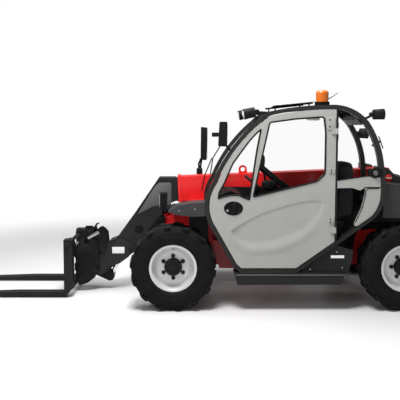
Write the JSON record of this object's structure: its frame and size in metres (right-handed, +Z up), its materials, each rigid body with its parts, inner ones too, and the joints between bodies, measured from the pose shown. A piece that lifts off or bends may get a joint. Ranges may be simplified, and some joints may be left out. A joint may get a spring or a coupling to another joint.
{
  "type": "compact telehandler with side cab and floating forks",
  "caption": "Rigid four-wheel telehandler: side cab with a door, telescopic lift boom beside it, tilting hitch with pallet forks, lugged steered wheels and side engine hood.",
  "frame": {"origin": "middle of the machine's length and width on the ground, forks included", "axes": "+Z up, -X forward towards the forks, the cab on the -Y side, +Y the hood's side"},
  "size_m": [5.11, 1.81, 2.1613],
  "materials": {
    "chassis_red": "gloss",
    "counterweight_grey": "satin",
    "cover_grey": "satin",
    "hood_grey": "satin",
    "engine_iron": "rough",
    "boom_black": "satin",
    "cylinder_black": "satin",
    "rod_chrome": "polished",
    "fork_black": "satin",
    "cab_black": "satin",
    "cab_grey": "satin",
    "door_grey": "satin",
    "window_glass": "polished",
    "trim_black": "matte",
    "seat_fabric": "matte",
    "lamp_black": "gloss",
    "beacon_orange": "gloss",
    "lamp_red": "gloss",
    "axle_black": "satin",
    "tyre": "matte",
    "rim_silver": "satin"
  },
  "bodies": {
    "chassis": {"chassis_frame": "chassis_red", "counterweight": "counterweight_grey", "rear_covers": "cover_grey", "side_pod": "cover_grey", "engine_block": "engine_iron", "cab_frame": "cab_black", "cab_shell": "cab_grey", "cab_roof": "cab_black", "cab_glazing": "window_glass", "quarter_panel": "door_grey", "seat_base": "trim_black", "seat_cushion": "seat_fabric", "seat_backrest": "seat_fabric", "dashboard": "trim_black", "steering_wheel": "trim_black", "nose_covers": "cover_grey", "side_step": "cab_black", "head_lamps": "lamp_black", "work_lamps": "lamp_black", "beacon": "beacon_orange", "mirrors": "trim_black", "tail_lamps": "lamp_red", "front_axle": "axle_black", "rear_axle": "axle_black"},
    "boom_outer": {"boom_outer": "chassis_red"},
    "boom_inner": {"boom_inner": "boom_black", "tilt_barrel": "cylinder_black"},
    "carriage": {"hitch": "fork_black", "fork_carriage": "fork_black", "forks": "fork_black"},
    "tilt_rod": {"tilt_rod": "rod_chrome"},
    "lift_barrel": {"lift_barrel": "cylinder_black"},
    "lift_rod": {"lift_rod": "rod_chrome"},
    "door": {"cab_door": "door_grey", "door_glass": "window_glass", "door_handle": "trim_black"},
    "hood": {"engine_hood": "hood_grey"},
    "front_steer_rod": {"front_steer_rod": "rod_chrome"},
    "front_left_knuckle": {"front_left_knuckle": "axle_black"},
    "front_left_wheel": {"front_left_tyre": "tyre", "front_left_rim": "rim_silver"},
    "front_right_knuckle": {"front_right_knuckle": "axle_black"},
    "front_right_wheel": {"front_right_tyre": "tyre", "front_right_rim": "rim_silver"},
    "rear_steer_rod": {"rear_steer_rod": "rod_chrome"},
    "rear_left_knuckle": {"rear_left_knuckle": "axle_black"},
    "rear_left_wheel": {"rear_left_tyre": "tyre", "rear_left_rim": "rim_silver"},
    "rear_right_knuckle": {"rear_right_knuckle": "axle_black"},
    "rear_right_wheel": {"rear_right_tyre": "tyre", "rear_right_rim": "rim_silver"}
  },
  "joints": [
    {"name": "boom_lift", "type": "hinge", "parent": "chassis", "child": "boom_outer", "pos_m": [2.095, 0, 1.235], "axis": [0, 1, 0], "range_deg": [0, 65]},
    {"name": "boom_extend", "type": "slide", "parent": "boom_outer", "child": "boom_inner", "axis": [-0.9991, 0, -0.0419], "range_m": [0, 1.8]},
    {"name": "carriage_tilt", "type": "hinge", "parent": "boom_inner", "child": "carriage", "pos_m": [-1.065, 0, 0.23], "axis": [0, -1, 0], "range_deg": [-14, 70]},
    {"name": "tilt_rod_slide", "type": "slide", "parent": "boom_inner", "child": "tilt_rod", "axis": [-0.4205, 0, -0.9073], "range_m": [-0.1703, 0.0357]},
    {"name": "lift_barrel_swing", "type": "hinge", "parent": "chassis", "child": "lift_barrel", "pos_m": [2.045, 0, 0.7], "axis": [0, 1, 0], "range_deg": [-0.5, 42.24]},
    {"name": "lift_rod_slide", "type": "slide", "parent": "lift_barrel", "child": "lift_rod", "axis": [-0.9065, 0, 0.4221], "range_m": [-0.002, 0.4523]},
    {"name": "front_left_steer", "type": "hinge", "parent": "chassis", "child": "front_left_knuckle", "pos_m": [-0.195, -0.64, 0.422], "axis": [0, 0, 1], "range_deg": [-35, 35]},
    {"name": "front_left_roll", "type": "hinge", "parent": "front_left_knuckle", "child": "front_left_wheel", "pos_m": [-0.195, -0.755, 0.422], "axis": [0, 1, 0], "continuous": true},
    {"name": "front_right_steer", "type": "hinge", "parent": "chassis", "child": "front_right_knuckle", "pos_m": [-0.195, 0.64, 0.422], "axis": [0, 0, 1], "range_deg": [-35, 35]},
    {"name": "front_right_roll", "type": "hinge", "parent": "front_right_knuckle", "child": "front_right_wheel", "pos_m": [-0.195, 0.755, 0.422], "axis": [0, 1, 0], "continuous": true},
    {"name": "front_steer_rod_slide", "type": "slide", "parent": "chassis", "child": "front_steer_rod", "axis": [0, 1, 0], "range_m": [-0.0737, 0.0737]},
    {"name": "rear_left_steer", "type": "hinge", "parent": "chassis", "child": "rear_left_knuckle", "pos_m": [2.055, -0.64, 0.422], "axis": [0, 0, 1], "range_deg": [-35, 35]},
    {"name": "rear_left_roll", "type": "hinge", "parent": "rear_left_knuckle", "child": "rear_left_wheel", "pos_m": [2.055, -0.755, 0.422], "axis": [0, 1, 0], "continuous": true},
    {"name": "rear_right_steer", "type": "hinge", "parent": "chassis", "child": "rear_right_knuckle", "pos_m": [2.055, 0.64, 0.422], "axis": [0, 0, 1], "range_deg": [-35, 35]},
    {"name": "rear_right_roll", "type": "hinge", "parent": "rear_right_knuckle", "child": "rear_right_wheel", "pos_m": [2.055, 0.755, 0.422], "axis": [0, 1, 0], "continuous": true},
    {"name": "rear_steer_rod_slide", "type": "slide", "parent": "chassis", "child": "rear_steer_rod", "axis": [0, 1, 0], "range_m": [-0.0737, 0.0737]},
    {"name": "door_swing", "type": "hinge", "parent": "chassis", "child": "door", "pos_m": [1.367, -0.895, 1.2], "axis": [0, 0, 1], "range_deg": [0, 90]},
    {"name": "hood_lift", "type": "hinge", "parent": "chassis", "child": "hood", "pos_m": [0.805, 0.172, 1.182], "axis": [1, 0, 0], "range_deg": [0, 55]}
  ],
  "couplings": [
    {"joint": "tilt_rod_slide", "follows": "carriage_tilt", "m_per_rad": -0.13772},
    {"joint": "lift_barrel_swing", "follows": "boom_lift", "ratio": 0.64217},
    {"joint": "lift_rod_slide", "follows": "boom_lift", "m_per_rad": 0.39515},
    {"joint": "front_right_steer", "follows": "front_left_steer", "ratio": 1},
    {"joint": "front_steer_rod_slide", "follows": "front_left_steer", "m_per_rad": 0.11737},
    {"joint": "rear_right_steer", "follows": "rear_left_steer", "ratio": 1},
    {"joint": "rear_steer_rod_slide", "follows": "rear_left_steer", "m_per_rad": 0.11737}
  ]
}
